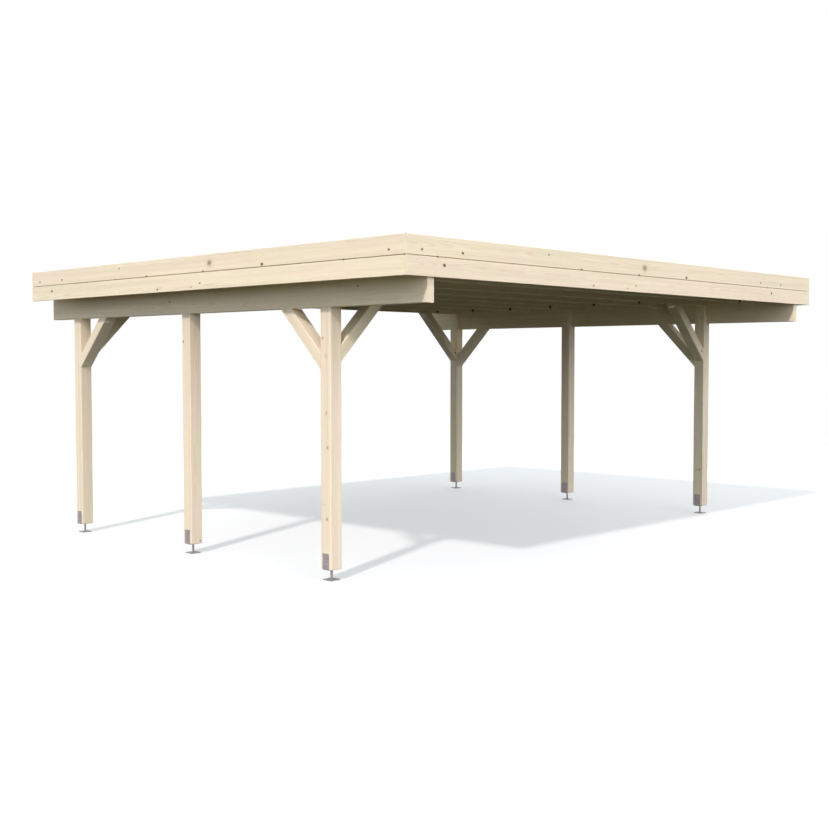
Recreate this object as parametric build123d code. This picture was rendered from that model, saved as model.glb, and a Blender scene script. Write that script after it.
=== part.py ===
from build123d import *
import os

# Free-standing flat-roofed timber carport for two cars, in millimetres.
# +X runs across the two rows of posts, -Y is the open front, +Z is up.
# The origin is on the ground, in the middle of the roof's outline.

# Posts: spacings are between centre lines
post_section = 120
post_row_spacing = 5732
post_spacing = 1901
post_foot = 90

# Heights: clear under the beams, then the beams, and the rafters notched over them
head_room = 2190
beam_height = 240
rafter_notch = 30
rafter_height = 235

# Roof past the corner posts' faces: to the fascias' faces, and at the rear to the side fascias' ends,
# which the beams and the roof sheets run past
front_overhang = 1084
side_overhang = 243
rear_overhang = 400
beam_projection = 17
sheet_projection = 34

# Timber: posts, beams and braces are chamfered along their length, rafters and boards a little less
arris = 4
small_arris = 2
beam_thickness = 70
beam_setback = 7
rafter_thickness = 60
rafter_bays_per_post_bay = 3
brace_depth = 95
long_brace_rise = 640
short_brace_rise = 494
fascia_thickness = 20
fascia_board_height = 145
fascia_gap = 5
fascia_batten_thickness = 20
fascia_batten_height = 60

# Roof sheets
sheet_count = 6
ribs_per_sheet = 5
sheet_depth = 35
sheet_gauge = 1
sheet_edge_clearance = 8
rib_crown = 40
rib_flank = 24

# Post anchors
plate_side = 106
plate_thickness = 6
plate_corner_radius = 10
plate_hole_radius = 5.5
plate_hole_spacing = 72
stem_radius = 10
weld_leg = 5
bracket_width = 70
bracket_thickness = 5
bracket_bend_radius = 3
bracket_reach = 130
bracket_corner_radius = 8
bracket_hole_radius = 5.5
bracket_hole_heights = (40, 90)

# Positions worked out from the dimensions above
half_width = (post_row_spacing + post_section) / 2 + side_overhang
half_length = (front_overhang + post_section + 2 * post_spacing + rear_overhang + sheet_projection) / 2
post_x = post_row_spacing / 2
front_post_y = -half_length + front_overhang + post_section / 2
post_rows = {
    "front": front_post_y,
    "middle": front_post_y + post_spacing,
    "rear": front_post_y + 2 * post_spacing,
}
sides = {"left": -1, "right": 1}
beam_top = head_room + beam_height
rafter_bottom = beam_top - rafter_notch
rafter_top = rafter_bottom + rafter_height
roof_top = rafter_top + sheet_depth + sheet_gauge
frame_front_y = -half_length + fascia_thickness
fascia_rear_y = half_length - sheet_projection
beam_front_y = frame_front_y + beam_setback
beam_rear_y = fascia_rear_y + beam_projection
rafter_half_length = half_width - fascia_thickness
rafter_spacing = post_spacing / rafter_bays_per_post_bay
upper_board_bottom = roof_top - fascia_board_height
lower_board_bottom = upper_board_bottom - fascia_gap - fascia_board_height
sheet_front_y = frame_front_y + sheet_edge_clearance
sheet_span = 2 * (rafter_half_length - sheet_edge_clearance)
sheet_cover = (sheet_span - rib_crown) / sheet_count


def around(centre, width):
    return (centre - width / 2, centre + width / 2)


def block(x_range, y_range, z_range):
    """A box between two X, two Y and two Z positions."""
    ranges = (sorted(x_range), sorted(y_range), sorted(z_range))
    centre = [(low + high) / 2 for low, high in ranges]
    return Pos(*centre) * Box(*[high - low for low, high in ranges])


def timber(x_range, y_range, z_range, grain, chamfer_size):
    """A rectangular timber with its edges along the grain chamfered."""
    sawn = block(x_range, y_range, z_range)
    return chamfer(sawn.edges().filter_by(grain), chamfer_size)


def make_post(side):
    """A post on its own centre line, chamfered at its foot and notched on the outer side for the beam."""
    square = around(0, post_section)
    post = timber(square, square, (post_foot, rafter_bottom), Axis.Z, arris)
    post = chamfer(post.faces().sort_by(Axis.Z)[0].edges(), arris)
    outer_face = side * post_section / 2
    notch_x = (outer_face, outer_face - side * beam_thickness)
    return post - block(notch_x, square, (head_room, beam_top))


def make_bracket():
    """A strip bent into a U, open upwards, with rounded upper corners and two holes in each side."""
    outer_radius = bracket_bend_radius + bracket_thickness
    reach = 2 * bracket_reach
    outer = Rectangle(post_section + 2 * bracket_thickness, reach + 2 * bracket_thickness)
    inner = Rectangle(post_section, reach)
    profile = fillet(outer.vertices(), outer_radius) - fillet(inner.vertices(), bracket_bend_radius)
    ring = extrude(Plane.XZ * profile, bracket_width / 2, both=True)
    bracket = split(ring, Plane.XY, keep=Keep.BOTTOM)
    upper_corners = bracket.edges().filter_by(Axis.X).group_by(Axis.Z)[-1]
    bracket = Pos(0, 0, post_foot + bracket_reach) * fillet(upper_corners, bracket_corner_radius)
    for height in bracket_hole_heights:
        drill = Rot(0, 90, 0) * Cylinder(bracket_hole_radius, 2 * post_section)
        bracket -= Pos(0, 0, post_foot + height) * drill
    return bracket


def make_anchor():
    """A galvanised anchor: drilled base plate, round stem welded at both ends, and U-bracket."""
    on_ground = (Align.CENTER, Align.CENTER, Align.MIN)
    plate = Box(plate_side, plate_side, plate_thickness, align=on_ground)
    plate = fillet(plate.edges().filter_by(Axis.Z), plate_corner_radius)
    for place in GridLocations(plate_hole_spacing, plate_hole_spacing, 2, 2):
        plate -= place * Cylinder(plate_hole_radius, 4 * plate_thickness)
    stem_length = post_foot - bracket_thickness - plate_thickness
    stem = Cylinder(stem_radius, stem_length, align=on_ground)
    stem += Cone(stem_radius + weld_leg, stem_radius, weld_leg, align=on_ground)
    upper_weld = Cone(stem_radius, stem_radius + weld_leg, weld_leg, align=on_ground)
    stem += Pos(0, 0, stem_length - weld_leg) * upper_weld
    return plate + Pos(0, 0, plate_thickness) * stem + make_bracket()


def make_brace(head, rise):
    """A 45 degree brace, as thick as a post, rising along +X: foot cut upright at X=0, head cut level."""
    cut_length = brace_depth * 2 ** 0.5
    foot = head - rise
    corners = [(0, foot), (rise, head), (rise - cut_length, head), (0, foot + cut_length)]
    outline = Plane.XZ * Polygon(*corners, align=None)
    brace = extrude(outline, post_section / 2, both=True)
    along_grain = Axis((0, 0, 0), (1, 0, 1))
    return chamfer(brace.edges().filter_by(along_grain), arris)


def make_sheet(length):
    """A trapezoidal sheet with its valleys at Z=0: its first crown laps over the sheet before it."""
    pitch = sheet_cover / ribs_per_sheet
    crown = sheet_depth - sheet_gauge
    under = [(0, sheet_depth), (rib_crown, sheet_depth)]
    for rib in range(1, ribs_per_sheet + 1):
        under += [(rib_crown + rib_flank + (rib - 1) * pitch, 0), (rib * pitch - rib_flank, 0)]
        under += [(rib * pitch, crown), (rib * pitch + rib_crown, crown)]
    upper = [(x, z + sheet_gauge) for x, z in reversed(under)]
    profile = Plane.XZ * Polygon(*under, *upper, align=None)
    return extrude(profile, -length)


def make_side(side_name, side):
    """One row: three posts on their anchors, the beam, the braces and the two side fascia boards."""
    parts = {}
    outer_x = side * (post_x + post_section / 2)
    inner_x = side * (post_x - post_section / 2)
    beam_x = (outer_x, outer_x - side * beam_thickness)
    beam_y = (beam_front_y, beam_rear_y)
    parts[f"beam_{side_name}"] = timber(beam_x, beam_y, (head_room, beam_top), Axis.Y, arris)
    for row_name, row_y in post_rows.items():
        place = Pos(side * post_x, row_y, 0)
        parts[f"post_{side_name}_{row_name}"] = place * make_post(side)
        parts[f"post_anchor_{side_name}_{row_name}"] = place * make_anchor()
    for row_name, inward in (("front", 1), ("rear", -1)):
        row_y = post_rows[row_name]
        across = Pos(inner_x, row_y, 0) * Rot(0, 0, 0 if side < 0 else 180)
        parts[f"long_brace_{side_name}_{row_name}"] = across * make_brace(rafter_bottom, long_brace_rise)
        along = Pos(side * post_x, row_y + inward * post_section / 2, 0) * Rot(0, 0, 90 * inward)
        parts[f"short_brace_{side_name}_{row_name}"] = along * make_brace(head_room, short_brace_rise)
    board_x = (side * half_width, side * rafter_half_length)
    for level, bottom in (("lower", lower_board_bottom), ("upper", upper_board_bottom)):
        heights = (bottom, bottom + fascia_board_height)
        board = timber(board_x, (frame_front_y, fascia_rear_y), heights, Axis.Y, small_arris)
        parts[f"fascia_{side_name}_{level}"] = board
    return parts


def make_rafter(line):
    """A rafter across both beams, notched over each."""
    width = around(line, rafter_thickness)
    across = around(0, 2 * rafter_half_length)
    rafter = timber(across, width, (rafter_bottom, rafter_top), Axis.X, small_arris)
    outer_x = post_x + post_section / 2
    for side in sides.values():
        notch_x = (side * outer_x, side * (outer_x - beam_thickness))
        rafter -= block(notch_x, width, (rafter_bottom, beam_top))
    return rafter


def make_roof():
    """The front fascia boards, the rafters, the battens behind the side boards, and the sheets."""
    parts = {}
    across = around(0, 2 * half_width)
    for level, bottom in (("lower", lower_board_bottom), ("upper", upper_board_bottom)):
        heights = (bottom, bottom + fascia_board_height)
        board = timber(across, (-half_length, frame_front_y), heights, Axis.X, small_arris)
        parts[f"fascia_front_{level}"] = board

    rafter_lines = [frame_front_y + rafter_thickness / 2]
    for bay in range(-1, 2 * rafter_bays_per_post_bay + 1):
        rafter_lines.append(front_post_y + bay * rafter_spacing)
    for number, line in enumerate(rafter_lines, start=1):
        parts[f"rafter_{number}"] = make_rafter(line)

    batten_y = (rafter_lines[-1] + rafter_thickness / 2, fascia_rear_y)
    batten_z = around(upper_board_bottom - fascia_gap / 2, fascia_batten_height)
    for side_name, side in sides.items():
        batten_x = (side * rafter_half_length, side * (rafter_half_length - fascia_batten_thickness))
        batten = timber(batten_x, batten_y, batten_z, Axis.Y, small_arris)
        parts[f"fascia_batten_{side_name}"] = batten

    sheet = make_sheet(half_length - sheet_front_y)
    for number in range(sheet_count):
        left = -sheet_span / 2 + number * sheet_cover
        parts[f"roof_sheet_{number + 1}"] = Pos(left, sheet_front_y, rafter_top) * sheet
    return parts


def make_parts():
    parts = {}
    for side_name, side in sides.items():
        parts.update(make_side(side_name, side))
    parts.update(make_roof())
    return parts


os.makedirs("parts", exist_ok=True)
for name, solid in make_parts().items():
    export_step(solid, f"parts/{name}.step")
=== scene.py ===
import math
import random

import bpy
from mathutils import Euler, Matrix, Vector


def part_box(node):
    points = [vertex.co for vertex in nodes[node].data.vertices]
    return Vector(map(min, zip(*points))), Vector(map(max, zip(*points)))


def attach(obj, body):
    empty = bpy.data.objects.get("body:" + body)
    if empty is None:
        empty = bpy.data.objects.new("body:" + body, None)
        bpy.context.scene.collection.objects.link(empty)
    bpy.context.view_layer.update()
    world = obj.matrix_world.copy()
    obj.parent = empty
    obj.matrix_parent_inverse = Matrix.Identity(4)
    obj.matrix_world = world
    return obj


# Flat-roofed timber carport: finishes, small hardware, floor, light and camera.
# Metres, +X across the two rows of posts, -Y the open front, +Z up.

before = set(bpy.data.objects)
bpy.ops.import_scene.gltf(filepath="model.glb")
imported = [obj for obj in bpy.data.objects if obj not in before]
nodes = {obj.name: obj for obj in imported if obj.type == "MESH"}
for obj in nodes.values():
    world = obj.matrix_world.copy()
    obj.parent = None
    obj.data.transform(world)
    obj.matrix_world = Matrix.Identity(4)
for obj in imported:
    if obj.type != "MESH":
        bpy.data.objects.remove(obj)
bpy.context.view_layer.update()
bpy.ops.object.select_all(action="DESELECT")


def namesStarting(start):
    return [name for name in sorted(nodes) if name.startswith(start)]


anchorNames = namesStarting("post_anchor")
postNames = [name.replace("_anchor", "") for name in anchorNames]
rafterNames = namesStarting("rafter_")
braceNames = namesStarting("long_brace") + namesStarting("short_brace")
sheetNames = namesStarting("roof_sheet")

cameraView = {
    "place": (-9.0932, -8.5175, 1.7703),
    "tiltDown": 2.654,  # degrees
    "turn": -45.979,
    "lens": 50.52,  # millimetres, as is the sensor
    "sensorWidth": 36,
    "farthest": 400,  # past the floor's far corner
}


def addCamera(view):
    bpy.ops.object.camera_add(location=view["place"])
    camera = bpy.context.object
    camera.name = "viewing_camera"
    camera.rotation_euler = (math.radians(90 - view["tiltDown"]), 0, math.radians(view["turn"]))
    camera.data.lens = view["lens"]
    camera.data.sensor_width = view["sensorWidth"]
    camera.data.clip_end = view["farthest"]
    bpy.context.scene.camera = camera


addCamera(cameraView)
print("camera placed")


# short ways to add shader nodes: a value may be a number, a colour or another node's output


def feed(tree, socket, value):
    if isinstance(value, bpy.types.NodeSocket):
        tree.links.new(value, socket)
    else:
        socket.default_value = value


def maths(tree, operation, *values):
    node = tree.nodes.new("ShaderNodeMath")
    node.operation = operation
    for socket, value in zip(node.inputs, values):
        feed(tree, socket, value)
    return node.outputs[0]


def vectors(tree, operation, first, second=(0, 0, 0)):
    node = tree.nodes.new("ShaderNodeVectorMath")
    node.operation = operation
    feed(tree, node.inputs[0], first)
    feed(tree, node.inputs[1], second)
    isNumber = operation in ("DISTANCE", "LENGTH", "DOT_PRODUCT")
    return node.outputs["Value"] if isNumber else node.outputs["Vector"]


def scaled(tree, vector, factor):
    node = tree.nodes.new("ShaderNodeVectorMath")
    node.operation = "SCALE"
    feed(tree, node.inputs[0], vector)
    feed(tree, node.inputs["Scale"], factor)
    return node.outputs["Vector"]


def smoothStep(tree, value, start, end, atStart=0.0, atEnd=1.0):
    node = tree.nodes.new("ShaderNodeMapRange")
    node.interpolation_type = "SMOOTHSTEP"
    for socket, each in zip(node.inputs, (value, start, end, atStart, atEnd)):
        feed(tree, socket, each)
    return node.outputs[0]


def mixColours(tree, factor, first, second, blend="MIX"):
    node = tree.nodes.new("ShaderNodeMix")
    node.data_type = "RGBA"
    node.blend_type = blend
    feed(tree, node.inputs[0], factor)
    feed(tree, node.inputs[6], first)  # inputs 6 and 7 and output 2 are the ones for colours
    feed(tree, node.inputs[7], second)
    return node.outputs[2]


def stretchedNoise(tree, point, perMetre, detail=2.0):
    node = tree.nodes.new("ShaderNodeTexNoise")
    feed(tree, node.inputs["Vector"], vectors(tree, "MULTIPLY", point, perMetre))
    node.inputs["Scale"].default_value = 1.0
    node.inputs["Detail"].default_value = detail
    return node


def newMaterial(name):
    material = bpy.data.materials.new(name)
    material.use_nodes = True
    tree = material.node_tree
    tree.nodes.clear()
    surface = tree.nodes.new("ShaderNodeBsdfPrincipled")
    output = tree.nodes.new("ShaderNodeOutputMaterial")
    tree.links.new(surface.outputs[0], output.inputs["Surface"])
    return material, tree, surface


def objectPoint(tree):
    return tree.nodes.new("ShaderNodeTexCoord").outputs["Object"]


def surfaceNormal(tree):
    return tree.nodes.new("ShaderNodeNewGeometry").outputs["Normal"]


def partOf(tree, vector, axis):
    node = tree.nodes.new("ShaderNodeSeparateXYZ")
    feed(tree, node.inputs[0], vector)
    return node.outputs[axis]


def addBump(tree, surface, height, relief):
    bump = tree.nodes.new("ShaderNodeBump")
    bump.inputs["Strength"].default_value = relief["strength"]
    bump.inputs["Distance"].default_value = relief["depth"]
    feed(tree, bump.inputs["Height"], height)
    tree.links.new(bump.outputs[0], surface.inputs["Normal"])


def putOn(name, material):
    for slot in nodes[name].material_slots:
        slot.material = material


# planed spruce: one node group holds the grain, and each timber has its own place in the log
spruce = {
    "early": (0.845, 0.73, 0.565, 1),
    "late": (0.72, 0.53, 0.35, 1),
    "rosy": (0.87, 0.715, 0.575, 1),
    "straw": (0.83, 0.74, 0.54, 1),
    "knot": (0.17, 0.105, 0.06, 1),
    "knotRim": (0.05, 0.033, 0.022, 1),
    "endGrain": (1.0, 0.985, 0.96, 1),
    "ringSpacing": 0.0052,
    "ringContrast": 0.42,
    "ringWaver": 0.05,
    "ringSwelling": 0.016,  # round a knot
    "pithAside": (0.05, 0.11),  # from the timber's middle
    "pithUp": 0.07,
    "roughness": 0.72,
    "gloss": 0.1,
    "relief": {"depth": 0.0005, "strength": 0.6},
}


def makeSpruceGroup(values):
    group = bpy.data.node_groups.new("planedSpruce", "ShaderNodeTree")
    for name, kind in (("Point", "Vector"), ("Knot", "Float"), ("End", "Float"), ("Tone", "Float")):
        group.interface.new_socket(name=name, in_out="INPUT", socket_type="NodeSocket" + kind)
    for name, kind in (("Colour", "Color"), ("Roughness", "Float"), ("Relief", "Float")):
        group.interface.new_socket(name=name, in_out="OUTPUT", socket_type="NodeSocket" + kind)
    given = group.nodes.new("NodeGroupInput").outputs
    result = group.nodes.new("NodeGroupOutput").inputs
    point = given["Point"]
    knot = given["Knot"]

    # growth rings round the pith, wavering along the log and swelling round a knot
    waver = stretchedNoise(group, point, (0.75, 6, 6)).outputs["Color"]
    waver = vectors(group, "SUBTRACT", waver, (0.5, 0.5, 0.5))
    waver = vectors(group, "MULTIPLY", waver, (0, values["ringWaver"], values["ringWaver"]))
    bent = vectors(group, "ADD", point, waver)
    radius = vectors(group, "LENGTH", vectors(group, "MULTIPLY", bent, (0, 1, 1)))
    radius = maths(group, "ADD", radius, smoothStep(group, knot, 0.8, 3.5, values["ringSwelling"], 0.0))
    turns = maths(group, "DIVIDE", radius, values["ringSpacing"])
    phase = maths(group, "FRACT", turns)
    late = maths(group, "MULTIPLY", smoothStep(group, phase, 0.35, 0.9), smoothStep(group, phase, 1.0, 0.93))
    year = group.nodes.new("ShaderNodeTexWhiteNoise")
    year.noise_dimensions = "1D"
    feed(group, year.inputs["W"], maths(group, "FLOOR", turns))
    late = maths(group, "MULTIPLY", late, smoothStep(group, year.outputs["Value"], 0, 1, 0.45, 1.0))

    # broad streaks, fine fibres, and patches that lean to rosy or to straw
    streaks = stretchedNoise(group, point, (0.55, 26, 26)).outputs["Fac"]
    fibres = stretchedNoise(group, point, (9, 600, 600), 3.0).outputs["Fac"]
    patches = stretchedNoise(group, point, (1.3, 5, 5)).outputs["Fac"]
    lean = smoothStep(group, maths(group, "ADD", patches, given["Tone"]), 0.3, 0.7)
    wood = mixColours(group, lean, values["rosy"], values["straw"])
    wood = mixColours(group, 0.5, wood, values["early"])
    wood = mixColours(group, maths(group, "MULTIPLY", late, values["ringContrast"]), wood, values["late"])
    streakShade = smoothStep(group, streaks, 0.3, 0.72, 1.03, 0.94)
    fibreShade = smoothStep(group, fibres, 0.25, 0.75, 0.96, 1.03)
    wood = scaled(group, wood, maths(group, "MULTIPLY", streakShade, fibreShade))
    wood = mixColours(group, given["End"], wood, values["endGrain"], "MULTIPLY")

    # knots: warm halo, brown heart, thin dark rim
    halo = smoothStep(group, knot, 2.8, 1.0, 0.0, 0.35)
    wood = mixColours(group, halo, wood, values["late"])
    heart = smoothStep(group, knot, 1.05, 0.9)
    wood = mixColours(group, heart, wood, values["knot"])
    rim = maths(group, "MULTIPLY", smoothStep(group, knot, 0.62, 0.85), heart)
    wood = mixColours(group, rim, wood, values["knotRim"])

    relief = maths(group, "ADD", maths(group, "MULTIPLY", fibres, 0.35), maths(group, "MULTIPLY", late, 0.4))
    relief = maths(group, "ADD", relief, maths(group, "MULTIPLY", heart, 0.5))
    smooth, rough = values["roughness"] - 0.05, values["roughness"] + 0.08
    feed(group, result["Colour"], wood)
    feed(group, result["Roughness"], smoothStep(group, fibres, 0.2, 0.8, smooth, rough))
    feed(group, result["Relief"], relief)
    return group


spruceGroup = makeSpruceGroup(spruce)


# how far off the nearest knot is, in knot sizes: a knot is its place along, across and up the timber,
# its size and its faintness, where 0 is dark and from 0.9 to 1.05 it fades away
def distanceFromKnots(tree, point, knots, reach):
    grain = stretchedNoise(tree, point, (140, 140, 140)).outputs["Fac"]
    ragged = smoothStep(tree, grain, 0.2, 0.8, -0.16, 0.16)
    flattened = vectors(tree, "MULTIPLY", point, reach)
    nearest = 9.0  # far from any knot
    for along, across, up, size, faint in knots:
        centre = [value * scale for value, scale in zip((along, across, up), reach)]
        away = maths(tree, "DIVIDE", vectors(tree, "DISTANCE", flattened, centre), size)
        away = maths(tree, "MAXIMUM", maths(tree, "ADD", away, ragged), faint)
        nearest = maths(tree, "MINIMUM", nearest, away)
    return nearest


# single knots that show: place from the lowest corner of the timber's box, size and faintness
plainKnots = {
    "post_left_front": (
        (0, 0.089, 1.857, 0.0055, 0),
        (0, 0.052, 1.713, 0.011, 1.023),
        (0, 0.050, 1.259, 0.0095, 1.007),
        (0, 0.039, 0.982, 0.0095, 1.003),
        (0, 0.045, 0.408, 0.010, 1.0),
        (0, 0.076, 0.523, 0.006, 1.02),
    ),
    "post_left_middle": ((0, 0.101, 1.849, 0.008, 0), (0.096, 0, 0.026, 0.0055, 0)),
    "post_right_front": ((0, 0.039, 0.417, 0.007, 0), (0, 0.078, 0.411, 0.005, 0)),
    "long_brace_right_front": ((0.597, 0, 0.116, 0.009, 0),),
    "long_brace_right_rear": ((0.611, 0, 0.113, 0.009, 0),),
    "beam_left": ((0, 3.271, 0.119, 0.007, 0), (0, 0.739, 0.151, 0.006, 0)),
}


def turned(degrees):
    return Euler([math.radians(angle) for angle in degrees])


def finishSpruce(name, turn, knots, through=False):  # the grain runs along X before the turn
    luck = random.Random(name)
    low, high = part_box(name)
    middle = (low + high) / 2
    toWorld = turned(turn).to_matrix()
    knots = list(knots)
    for right, back, up, size, faint in plainKnots.get(name, ()):
        place = toWorld.transposed() @ (Vector((right, back, up)) + low - middle)
        knots.append((*place, size, faint))
    material, tree, surface = newMaterial("spruce_" + name)
    mapping = tree.nodes.new("ShaderNodeMapping")
    mapping.vector_type = "TEXTURE"
    feed(tree, mapping.inputs["Vector"], objectPoint(tree))
    mapping.inputs["Location"].default_value = middle
    mapping.inputs["Rotation"].default_value = turned(turn)
    local = mapping.outputs[0]
    knot = distanceFromKnots(tree, local, knots, (0.8, 0 if through else 1, 1))
    pith = (
        luck.uniform(-40, 40),
        luck.choice((-1, 1)) * luck.uniform(*spruce["pithAside"]),
        luck.uniform(-spruce["pithUp"], spruce["pithUp"]),
    )
    facing = vectors(tree, "DOT_PRODUCT", surfaceNormal(tree), toWorld @ Vector((1, 0, 0)))
    grain = tree.nodes.new("ShaderNodeGroup")
    grain.node_tree = spruceGroup
    feed(tree, grain.inputs["Point"], vectors(tree, "ADD", local, pith))
    feed(tree, grain.inputs["Knot"], knot)
    feed(tree, grain.inputs["End"], smoothStep(tree, maths(tree, "ABSOLUTE", facing), 0.9, 0.98))
    grain.inputs["Tone"].default_value = luck.uniform(-0.12, 0.12)
    tree.links.new(grain.outputs["Colour"], surface.inputs["Base Color"])
    tree.links.new(grain.outputs["Roughness"], surface.inputs["Roughness"])
    surface.inputs["Specular IOR Level"].default_value = spruce["gloss"]
    addBump(tree, surface, grain.outputs["Relief"], spruce["relief"])
    putOn(name, material)


# fascia boards: a knot is its distance from the board's left end and below its top edge, size and faintness
fascia = {
    "upperKnots": (
        (0.157, 0.104, 0.008, 0),
        (0.60, 0.103, 0.009, 0),
        (1.65, 0.047, 0.0065, 0),
        (3.06, 0.075, 0.028, 1.01),  # a broad faint knot with a darker heart
        (3.06, 0.075, 0.014, 0.985),
        (3.77, 0.127, 0.012, 0),
        (5.225, 0.104, 0.008, 0),
        (5.663, 0.106, 0.008, 0),
        (2.10, 0.143, 0.009, 0),
        (2.967, 0.142, 0.008, 0),
    ),
    "lowerKnots": (
        (0.397, 0.056, 0.011, 0),
        (2.275, 0.117, 0.0075, 0),
        (2.79, 0.118, 0.005, 0),
        (2.92, 0.090, 0.007, 0),
        (5.465, 0.053, 0.011, 0),
    ),
    "jointKnots": {"left": (4.74, 5.384), "right": (1.2,), "front": (0.326, 5.376)},  # cut by the joint
    "jointKnotSize": 0.005,
    "turns": {"left": (0, 0, 90), "right": (0, 0, 90), "front": (0, 0, 0)},
}


def finishFascia(side, level):
    name = f"fascia_{side}_{level}"
    low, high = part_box(name)
    length = max(high - low)
    height = high.z - low.z
    leftEnd = 1 if side == "left" else -1  # the left board is read from its rear end
    knots = []
    for along, below, size, faint in fascia[level + "Knots"]:
        if along < length:
            knots.append((leftEnd * (length / 2 - along), 0, height / 2 - below, size, faint))
    joint = (-height if level == "upper" else height) / 2
    for along in fascia["jointKnots"][side]:
        knots.append((leftEnd * (length / 2 - along), 0, joint, fascia["jointKnotSize"], 0))
    finishSpruce(name, fascia["turns"][side], knots, through=True)


for side in fascia["turns"]:
    for level in ("lower", "upper"):
        finishFascia(side, level)
print("fascia boards finished")

# small knots scattered on two faces of each timber
smallKnots = {
    "sizes": (0.005, 0.006, 0.008, 0.011),
    "clearStart": 0.1,
    "clearEnd": 0.05,
}


def scatteredKnots(name, timberSize, spacing, faces):
    luck = random.Random(name + "knots")
    length, width, depth = timberSize
    back, top = faces
    found = []
    along = -length / 2 + luck.uniform(smallKnots["clearStart"], spacing)
    while along < length / 2 - smallKnots["clearEnd"]:
        size = luck.choice(smallKnots["sizes"])
        onBack = luck.random() < 0.5
        aside = luck.uniform(-0.4, 0.4)
        across, up = (back, aside) if onBack else (aside, top)
        found.append((along, across * width, up * depth, size, 0))
        along += luck.uniform(0.5, 1.5) * spacing
    return found


# how each straight timber is turned, how far apart its small knots are, and the two faces that they are on,
# as shares of its width and depth from the middle
post = {"turn": (0, -90, 0), "knotSpacing": 0.5, "knotFaces": (0.5, -0.5)}
beam = {"turn": (0, 0, 90), "knotSpacing": 0.7, "knotFaces": (-0.5, 0.5)}
batten = {"turn": (0, 0, 90), "knotSpacing": 0.3, "knotFaces": (0.5, 0.5)}
rafter = {
    "turn": (0, 0, 0),
    "knotSpacing": 0.8,
    "knotFaces": (0.5, 0.5),
    "frontKnotSize": 0.018,
    "frontKnots": {  # from the rafter's middle, above its underside
        "rafter_2": (2.511, 0.017),
        "rafter_4": (2.487, 0.045),
        "rafter_5": (2.479, 0.038),
        "rafter_6": (2.454, 0.028),
        "rafter_7": (2.445, 0.018),
        "rafter_8": (2.451, 0.024),
        "rafter_9": (2.452, 0.023),
    },
}


def sizesOf(name):
    low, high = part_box(name)
    return high - low


def finishStraight(name, values, ownKnots=()):
    toTimber = turned(values["turn"]).to_matrix().transposed()
    timberSize = [abs(size) for size in toTimber @ sizesOf(name)]
    knots = scatteredKnots(name, timberSize, values["knotSpacing"], values["knotFaces"])
    finishSpruce(name, values["turn"], [*knots, *ownKnots])


def frontKnotsOf(name, values):
    if name not in values["frontKnots"]:
        return []
    along, up = values["frontKnots"][name]
    sizes = sizesOf(name)
    return [(along, -sizes.y / 2, up - sizes.z / 2, values["frontKnotSize"], 0)]


for name in namesStarting("beam_"):
    finishStraight(name, beam)
for name in namesStarting("fascia_batten"):
    finishStraight(name, batten)
for name in postNames:
    finishStraight(name, post)
for name in rafterNames:
    finishStraight(name, rafter, frontKnotsOf(name, rafter))
print("posts, beams, battens and rafters finished")

brace = {
    "headings": {"long_left": 0, "long_right": 180, "short_front": 90, "short_rear": -90},
    "depth": 0.095,
    "knotSpacing": 0.3,
}


def finishBrace(name, values):
    kind, _, side, row = name.split("_")
    heading = values["headings"]["long_" + side if kind == "long" else "short_" + row]
    box = sizesOf(name)
    timberSize = (box.z * math.sqrt(2), box.y if kind == "long" else box.x, values["depth"])
    back = 0.5 if heading in (0, -90) else -0.5
    top = -0.5 if heading in (0, 90) else 0.5
    knots = scatteredKnots(name, timberSize, values["knotSpacing"], (back, top))
    raised = [(along, across, up + values["depth"] / 2, *rest) for along, across, up, *rest in knots]
    finishSpruce(name, (0, -45, heading), raised)


for name in braceNames:
    finishBrace(name, brace)
print("braces finished")

# galvanised steel of the post anchors
galvanised = {
    "dark": (0.27, 0.235, 0.24, 1),
    "light": (0.38, 0.335, 0.345, 1),
    "flakesPerMetre": 110,
    "metallic": 0.55,
    "dullest": 0.5,
    "smoothest": 0.38,
    "relief": {"depth": 0.0006, "strength": 0.5},
}


def makeGalvanised(values):
    material, tree, surface = newMaterial("galvanised_steel")
    point = objectPoint(tree)
    flakes = tree.nodes.new("ShaderNodeTexVoronoi")
    flakes.inputs["Scale"].default_value = values["flakesPerMetre"]
    feed(tree, flakes.inputs["Vector"], point)
    shade = vectors(tree, "DOT_PRODUCT", flakes.outputs["Color"], (0.33, 0.33, 0.34))
    bloom = stretchedNoise(tree, point, (35, 35, 20), 4.0).outputs["Fac"]
    shade = maths(tree, "ADD", maths(tree, "MULTIPLY", shade, 0.5), maths(tree, "MULTIPLY", bloom, 0.5))
    colour = mixColours(tree, smoothStep(tree, shade, 0.3, 0.7), values["dark"], values["light"])
    roughness = smoothStep(tree, shade, 0.3, 0.7, values["dullest"], values["smoothest"])
    feed(tree, surface.inputs["Base Color"], colour)
    feed(tree, surface.inputs["Roughness"], roughness)
    surface.inputs["Metallic"].default_value = values["metallic"]
    addBump(tree, surface, bloom, values["relief"])
    return material


galvanisedSteel = makeGalvanised(galvanised)
for name in anchorNames:
    putOn(name, galvanisedSteel)
print("post anchors finished")

# roof sheets: dust lies in the valleys, and the underside has drip-catching fleece whose dark brown colour
# is painted shade
roofSheet = {
    "clean": (0.4, 0.407, 0.41, 1),
    "dusty": (0.345, 0.335, 0.31, 1),
    "metallic": 0.3,
    "gloss": 0.25,
    "smoothest": 0.6,
    "dullest": 0.68,
    "dustDulls": 0.2,
    "dustHeight": 0.0175,  # half the depth of a sheet
    "fleece": (0.27, 0.255, 0.21, 1),
    "fleeceTufts": (0.5, 0.5, 0.46, 1),
    "fleeceRoughness": 0.95,
    "relief": {"depth": 0.0004, "strength": 0.3},
}


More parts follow.
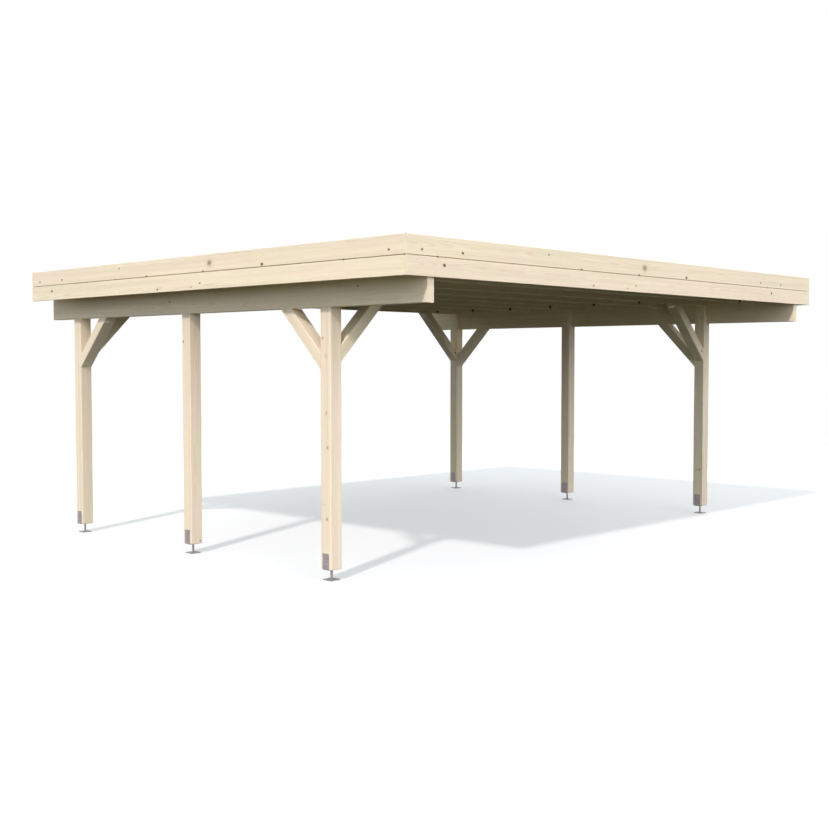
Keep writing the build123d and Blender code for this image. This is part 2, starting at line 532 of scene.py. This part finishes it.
def makeRoofSheet(values):
    material, tree, surface = newMaterial("roof_sheet")
    surface.inputs["Specular IOR Level"].default_value = values["gloss"]
    point = objectPoint(tree)
    rolled = stretchedNoise(tree, point, (160, 0.8, 160)).outputs["Fac"]
    runs = stretchedNoise(tree, point, (14, 0.7, 14), 4.0).outputs["Fac"]
    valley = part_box(sheetNames[0])[0].z
    low = smoothStep(tree, partOf(tree, point, "Z"), valley + values["dustHeight"], valley)
    dust = maths(tree, "MULTIPLY", low, smoothStep(tree, runs, 0.4, 0.7))
    metal = mixColours(tree, dust, values["clean"], values["dusty"])
    # the underside gets the fleece: a real layer, but its dark brown colour paints the shade under the roof
    under = smoothStep(tree, partOf(tree, surfaceNormal(tree), "Z"), -0.02, -0.1)
    tufts = stretchedNoise(tree, point, (900, 900, 900), 3.0).outputs["Fac"]
    tuftShare = smoothStep(tree, tufts, 0.3, 0.7, 0.0, 0.25)
    fleece = mixColours(tree, tuftShare, values["fleece"], values["fleeceTufts"])
    feed(tree, surface.inputs["Base Color"], mixColours(tree, under, metal, fleece))
    feed(tree, surface.inputs["Metallic"], smoothStep(tree, under, 0, 1, values["metallic"], 0.0))
    metalRoughness = smoothStep(tree, rolled, 0.3, 0.7, values["smoothest"], values["dullest"])
    dusted = maths(tree, "ADD", metalRoughness, maths(tree, "MULTIPLY", dust, values["dustDulls"]))
    fleeced = maths(tree, "MULTIPLY", under, values["fleeceRoughness"])
    feed(tree, surface.inputs["Roughness"], maths(tree, "MAXIMUM", dusted, fleeced))
    height = maths(tree, "ADD", rolled, maths(tree, "MULTIPLY", under, tufts))
    addBump(tree, surface, height, values["relief"])
    return material


sheetMetal = makeRoofSheet(roofSheet)
for name in sheetNames:
    putOn(name, sheetMetal)
print("roof sheets finished")


# screws: each kind is modelled once, head up on Z = 0, then set out in copies that make one piece


def startShape(sides, radius, depth, bottom=0.0):  # left in edit mode with its top face selected
    bpy.ops.object.select_all(action="DESELECT")
    middle = (0, 0, bottom + depth / 2)
    bpy.ops.mesh.primitive_cylinder_add(vertices=sides, radius=radius, depth=depth, location=middle)
    shape = bpy.context.object
    bpy.ops.object.mode_set(mode="EDIT")
    bpy.ops.mesh.select_mode(type="FACE")
    bpy.ops.mesh.select_all(action="DESELECT")
    bpy.ops.object.mode_set(mode="OBJECT")
    for face in shape.data.polygons:
        face.select = face.normal.z > 0.9
    bpy.ops.object.mode_set(mode="EDIT")
    return shape


def stepIn(inward, raised=0.0):
    bpy.ops.mesh.inset(thickness=inward)
    bpy.ops.transform.translate(value=(0, 0, raised))


def sinkIn(depth):
    bpy.ops.mesh.extrude_region_move(TRANSFORM_OT_translate={"value": (0, 0, -depth)})
    bpy.ops.object.mode_set(mode="OBJECT")


def easedShape(sides, radius, depth, edge, bottom=0.0):  # its top edge steps in and up
    shape = startShape(sides, radius, depth, bottom)
    stepIn(*edge)
    bpy.ops.object.mode_set(mode="OBJECT")
    return shape


def joinShapes(shapes, name):
    bpy.ops.object.select_all(action="DESELECT")
    for shape in shapes:
        shape.select_set(True)
    bpy.context.view_layer.objects.active = shapes[0]
    if len(shapes) > 1:
        bpy.ops.object.join()
    bpy.ops.object.transform_apply(location=True, rotation=True, scale=True)
    bpy.ops.object.shade_smooth_by_angle(angle=math.radians(28))
    shapes[0].name = shapes[0].data.name = name
    return shapes[0]


def setOut(model, name, places, material):
    copies = []
    for place, turn in places:
        copy = model.copy()
        copy.data = model.data.copy()
        copy.location = place
        copy.rotation_euler = turned(turn)
        bpy.context.collection.objects.link(copy)
        copies.append(copy)
    piece = joinShapes(copies, name)
    piece.data.materials.append(material)
    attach(piece, "root")


def putAway(model):
    bpy.data.meshes.remove(model.data)


# bright and yellow zinc on the screws
platings = {
    "zinc_plating": {"bright": (0.42, 0.385, 0.375, 1), "dull": (0.31, 0.28, 0.275, 1)},
    "yellow_plating": {"bright": (0.72, 0.60, 0.42, 1), "dull": (0.58, 0.46, 0.30, 1)},
    "metallic": 0.5,
    "smoothest": 0.38,
    "dullest": 0.5,
    "relief": {"depth": 0.0001, "strength": 0.3},
}


def makePlating(name, values):
    material, tree, surface = newMaterial(name)
    bloom = stretchedNoise(tree, objectPoint(tree), (300, 300, 300), 3.0).outputs["Fac"]
    colour = mixColours(tree, bloom, values[name]["dull"], values[name]["bright"])
    roughness = smoothStep(tree, bloom, 0.3, 0.7, values["smoothest"], values["dullest"])
    feed(tree, surface.inputs["Base Color"], colour)
    feed(tree, surface.inputs["Roughness"], roughness)
    surface.inputs["Metallic"].default_value = values["metallic"]
    addBump(tree, surface, bloom, values["relief"])
    return material


zincPlating = makePlating("zinc_plating", platings)
yellowPlating = makePlating("yellow_plating", platings)

# which way a head looks
leftward = (0, -90, 0)
rightward = (0, 90, 0)
frontward = (90, 0, 0)
upward = (0, 0, 0)
offBrace = 135  # degrees from upright, square to a brace's lower face

# hexagon-head coach screws with washers, in the holes on both sides of every anchor
coachScrew = {
    "acrossFlats": 0.013,
    "headHeight": 0.0055,
    "headEdge": (0.0011, 0.0007),  # in and up
    "washerRadius": 0.0095,
    "washerThickness": 0.0016,
    "washerEdge": (0.0005, 0.0002),
    "heights": (0.04, 0.09),  # above the foot of the post
}


def makeCoachScrew(values):
    corner = values["acrossFlats"] / math.sqrt(3)
    thickness = values["washerThickness"]
    washer = easedShape(24, values["washerRadius"], thickness, values["washerEdge"])
    head = easedShape(6, corner, values["headHeight"], values["headEdge"], thickness)
    return joinShapes([washer, head], "coach_screw")


def coachScrewPlaces(values):
    places = []
    for name in anchorNames:
        low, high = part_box(name)
        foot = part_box(name.replace("_anchor", ""))[0].z
        middle = (low.y + high.y) / 2
        for height in values["heights"]:
            places.append(((low.x, middle, foot + height), leftward))
            places.append(((high.x, middle, foot + height), rightward))
    return places


model = makeCoachScrew(coachScrew)
setOut(model, "anchor_screws", coachScrewPlaces(coachScrew), zincPlating)
putAway(model)
print("anchor screws set out")

# countersunk screws of the fascia boards
fasciaScrew = {
    "radius": 0.0035,
    "proud": 0.0003,
    "sunk": 0.002,
    "edge": (0.0004, 0.0001),
    "socketRadius": 0.0014,
    "socketDepth": 0.0015,
    "heightsUpper": (0.030, 0.090),  # above the board's underside
    "heightsLower": (0.050, 0.115),
    "frontSpacing": 0.6,
    "frontMargin": 0.1,
}


def makeFasciaScrew(values):
    head = startShape(16, values["radius"], values["sunk"] + values["proud"], -values["sunk"])
    stepIn(*values["edge"])
    stepIn(values["radius"] - values["edge"][0] - values["socketRadius"])
    sinkIn(values["socketDepth"])
    return joinShapes([head], "fascia_screw")


def heightsOn(side, values):
    found = []
    for level in ("upper", "lower"):
        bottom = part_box(f"fascia_{side}_{level}")[0].z
        found += [bottom + height for height in values["heights" + level.capitalize()]]
    return found


def rafterRows():
    return [sum(corner.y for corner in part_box(name)) / 2 for name in rafterNames]


def sideScrewPlaces(side, values):
    low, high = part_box(f"fascia_{side}_upper")
    face, turn = (low.x, leftward) if side == "left" else (high.x, rightward)
    return [((face, row, height), turn) for row in rafterRows() for height in heightsOn(side, values)]


def frontScrewPlaces(values):
    low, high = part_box("fascia_front_upper")
    reach = (high.x - low.x) / 2 - values["frontMargin"]
    count = round(2 * reach / values["frontSpacing"])
    columns = [-reach + 2 * reach * step / count for step in range(count + 1)]
    heights = heightsOn("front", values)
    return [((column, low.y, height), frontward) for column in columns for height in heights]


model = makeFasciaScrew(fasciaScrew)
setOut(model, "fascia_screws_left", sideScrewPlaces("left", fasciaScrew), yellowPlating)
setOut(model, "fascia_screws_right", sideScrewPlaces("right", fasciaScrew), yellowPlating)
setOut(model, "fascia_screws_front", frontScrewPlaces(fasciaScrew), yellowPlating)
putAway(model)
print("fascia screws set out")

# washer-head screws: posts to beams, and both ends of every brace
washerHead = {
    "radius": 0.0105,
    "rim": 0.001,
    "rise": 0.0022,
    "domeSteps": ((0.25, 0.35), (0.25, 0.35), (0.2, 0.25), (0.3, 0.05)),  # shares of the way in and up
    "socketRadius": 0.003,
    "socketDepth": 0.0025,
    "beamHeights": (0.06, 0.15),  # above the beam's underside
    "beamStagger": 0.03,
    "braceEnd": 0.055,  # along the brace, from its end
    "footStagger": 0.03,
    "headStagger": 0.014,
}


def makeWasherHead(values):
    head = startShape(24, values["radius"], values["rim"])
    dome = values["radius"] - values["socketRadius"]
    for inward, raised in values["domeSteps"]:
        stepIn(inward * dome, raised * values["rise"])
    sinkIn(values["socketDepth"])
    return joinShapes([head], "washer_head")


def beamScrewPlaces(values):
    places = []
    for name in postNames:
        low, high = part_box(name)
        side = name.split("_")[1]
        face, turn = (high.x, rightward) if side == "left" else (low.x, leftward)
        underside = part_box("beam_" + side)[0].z
        for height, aside in zip(values["beamHeights"], (-1, 1)):
            row = (low.y + high.y) / 2 + aside * values["beamStagger"]
            places.append(((face, row, underside + height), turn))
    return places


def braceScrewPlaces(name, values):  # a long brace rises along X, a short one along Y
    kind, _, side, row = name.split("_")
    isLong = kind == "long"
    inward = 1 if (side == "left" if isLong else row == "front") else -1
    low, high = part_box(name)
    foot = low if inward > 0 else high
    middle = (low + high) / 2
    end = values["braceEnd"] / math.sqrt(2)
    beamMiddle = sum(corner.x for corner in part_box("beam_" + side)) / 2
    places = []
    for isFoot, rise in ((True, end), (False, high.z - low.z - end)):
        stagger = values["footStagger"] if isFoot else values["headStagger"]
        for aside in (-stagger, stagger):
            if isLong:
                place = (foot.x + inward * rise, middle.y + aside, low.z + rise)
                places.append((place, (0, inward * offBrace, 0)))
            else:
                across = middle.x if isFoot else beamMiddle
                place = (across + aside, foot.y + inward * rise, low.z + rise)
                places.append((place, (-inward * offBrace, 0, 0)))
    return places


model = makeWasherHead(washerHead)
setOut(model, "beam_screws", beamScrewPlaces(washerHead), yellowPlating)
bracePlaces = [place for name in braceNames for place in braceScrewPlaces(name, washerHead)]
setOut(model, "brace_screws", bracePlaces, yellowPlating)
putAway(model)
print("beam and brace screws set out")

# roof screws on every second rib over each rafter, each on a rubber sealing washer
roofScrew = {
    "flangeRadius": 0.0075,
    "flangeThickness": 0.0008,
    "flangeEdge": (0.0022, 0.0008),
    "acrossFlats": 0.008,
    "headHeight": 0.0045,
    "headEdge": (0.0008, 0.0004),
    "washerRadius": 0.008,
    "washerThickness": 0.0022,
    "washerInset": 0.0009,
    "everyRib": 2,
    "ribsPerSheet": 5,
    "rubber": (0.045, 0.045, 0.047, 1),
    "chalk": (0.09, 0.09, 0.09, 1),
    "relief": {"depth": 0.0002, "strength": 0.4},
}


def makeRoofScrew(values):
    corner = values["acrossFlats"] / math.sqrt(3)
    bottom = values["washerThickness"]
    top = bottom + values["flangeThickness"]
    flange = easedShape(16, values["flangeRadius"], values["flangeThickness"], values["flangeEdge"], bottom)
    head = easedShape(6, corner, values["headHeight"], values["headEdge"], top)
    return joinShapes([flange, head], "roof_screw")


def makeSealingWasher(values):
    thickness = values["washerThickness"]
    edge = (values["washerInset"], 0.3 * thickness)
    washer = easedShape(16, values["washerRadius"], 0.7 * thickness, edge)
    return joinShapes([washer], "sealing_washer")


def makeRubber(values):
    material, tree, surface = newMaterial("sealing_rubber")
    bloom = stretchedNoise(tree, objectPoint(tree), (500, 500, 500), 3.0).outputs["Fac"]
    feed(tree, surface.inputs["Base Color"], mixColours(tree, bloom, values["rubber"], values["chalk"]))
    feed(tree, surface.inputs["Roughness"], smoothStep(tree, bloom, 0.3, 0.7, 0.7, 0.85))
    addBump(tree, surface, bloom, values["relief"])
    return material


def roofScrewPlaces(values):
    first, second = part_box("roof_sheet_1"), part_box("roof_sheet_2")
    cover = second[0].x - first[0].x
    crown = first[1].x - first[0].x - cover
    pitch = cover / values["ribsPerSheet"]
    ribs = range(0, values["ribsPerSheet"] * len(sheetNames) + 1, values["everyRib"])
    columns = [first[0].x + crown / 2 + rib * pitch for rib in ribs]
    return [((column, row, first[1].z), upward) for column in columns for row in rafterRows()]


model = makeRoofScrew(roofScrew)
setOut(model, "roof_screws", roofScrewPlaces(roofScrew), zincPlating)
putAway(model)
model = makeSealingWasher(roofScrew)
setOut(model, "roof_screw_washers", roofScrewPlaces(roofScrew), makeRubber(roofScrew))
putAway(model)
print("roof screws set out")

# floor and world: both are seen white, while the object gets their plain bounce and ambient light
studio = {
    "floorSize": 240,
    "floorBounce": (0.03, 0.029, 0.022, 1),
    "floorSeen": (0.93, 0.93, 0.93, 1),
    "floorGlow": 0.35,  # share of plain white near the object, all of it past fadeEnd
    "fadeStart": 6,
    "fadeEnd": 16,
    "ambient": 0.58,
    "ambientColour": (0.92, 1.03, 1.08, 1),
}


def isSeen(tree):  # 1 for rays that show the background itself, straight on or in metal and glass
    path = tree.nodes.new("ShaderNodeLightPath")
    seen = maths(tree, "MAXIMUM", path.outputs["Is Camera Ray"], path.outputs["Is Glossy Ray"])
    return maths(tree, "MAXIMUM", seen, path.outputs["Is Transmission Ray"])


def mixShaders(tree, factor, first, second):
    node = tree.nodes.new("ShaderNodeMixShader")
    for socket, value in zip(node.inputs, (factor, first, second)):
        feed(tree, socket, value)
    return node.outputs[0]


def plainShader(tree, kind, colour):
    node = tree.nodes.new(kind)
    node.inputs["Color"].default_value = colour
    return node.outputs[0]


def makeFloorPaper(values):
    material = bpy.data.materials.new("studio_floor")
    material.use_nodes = True
    tree = material.node_tree
    tree.nodes.clear()
    paper = plainShader(tree, "ShaderNodeBsdfDiffuse", values["floorSeen"])
    white = plainShader(tree, "ShaderNodeEmission", (1, 1, 1, 1))
    away = vectors(tree, "LENGTH", objectPoint(tree))
    glow = smoothStep(tree, away, values["fadeStart"], values["fadeEnd"], values["floorGlow"], 1.0)
    bounce = plainShader(tree, "ShaderNodeBsdfDiffuse", values["floorBounce"])
    either = mixShaders(tree, isSeen(tree), bounce, mixShaders(tree, glow, paper, white))
    output = tree.nodes.new("ShaderNodeOutputMaterial")
    tree.links.new(either, output.inputs["Surface"])
    return material


def addFloor(values):
    bpy.ops.mesh.primitive_plane_add(size=values["floorSize"], location=(0, 0, 0))
    floor = bpy.context.object
    floor.name = "floor"
    floor.data.materials.append(makeFloorPaper(values))


def setWorld(values):
    world = bpy.data.worlds.new("studio_world")
    world.use_nodes = True
    bpy.context.scene.world = world
    tree = world.node_tree
    background = tree.nodes["Background"]
    seen = isSeen(tree)
    feed(tree, background.inputs["Color"], mixColours(tree, seen, values["ambientColour"], (1, 1, 1, 1)))
    feed(tree, background.inputs["Strength"], smoothStep(tree, seen, 0, 1, values["ambient"], 1.0))


# distant lamps: the way that the light travels, its strength, its softness in degrees and its colour
lamps = {
    "key_light": ((1.075, 0.43, -1), 2.28, 3.5, (1.0, 0.94, 0.925)),
    "front_light": ((0.2, 1, -0.3), 1.9, 55, (0.96, 0.955, 1.02)),
    "side_light": ((1, 0.2, -0.08), 0.8, 90, (0.88, 1.01, 1.1)),
    "back_light": ((-1, -0.7, -0.3), 1.9, 70, (1.0, 0.99, 0.97)),
}


def aim(lamp, travel):
    lamp.rotation_euler = Vector(travel).to_track_quat("-Z", "Y").to_euler()


def addLamp(name, travel, strength, softness, colour):
    bpy.ops.object.light_add(type="SUN", location=-10 * Vector(travel))
    lamp = bpy.context.object
    lamp.name = name
    aim(lamp, travel)
    lamp.data.energy = strength
    lamp.data.angle = math.radians(softness)
    lamp.data.color = colour
    lamp.visible_glossy = name == "key_light"  # the soft lamps would show as haze on the roof


# a low panel lamp far out in front lights what looks forward and down
lowFill = {
    "place": (-13, -13, 0.9),
    "aim": (0, 0, 2.3),
    "size": (4, 1.2),
    "power": 175,
    "colour": (1.0, 1.0, 0.5),
}


def addLowFill(values):
    bpy.ops.object.light_add(type="AREA", location=values["place"])
    lamp = bpy.context.object
    lamp.name = "low_fill"
    aim(lamp, Vector(values["aim"]) - Vector(values["place"]))
    lamp.data.shape = "RECTANGLE"
    lamp.data.size, lamp.data.size_y = values["size"]
    lamp.data.energy = values["power"]
    lamp.data.color = values["colour"]
    lamp.visible_camera = False
    lamp.visible_glossy = False


addFloor(studio)
addLowFill(lowFill)
for name, settings in lamps.items():
    addLamp(name, *settings)
setWorld(studio)
bpy.context.scene.view_settings.view_transform = "Standard"
print("studio ready")
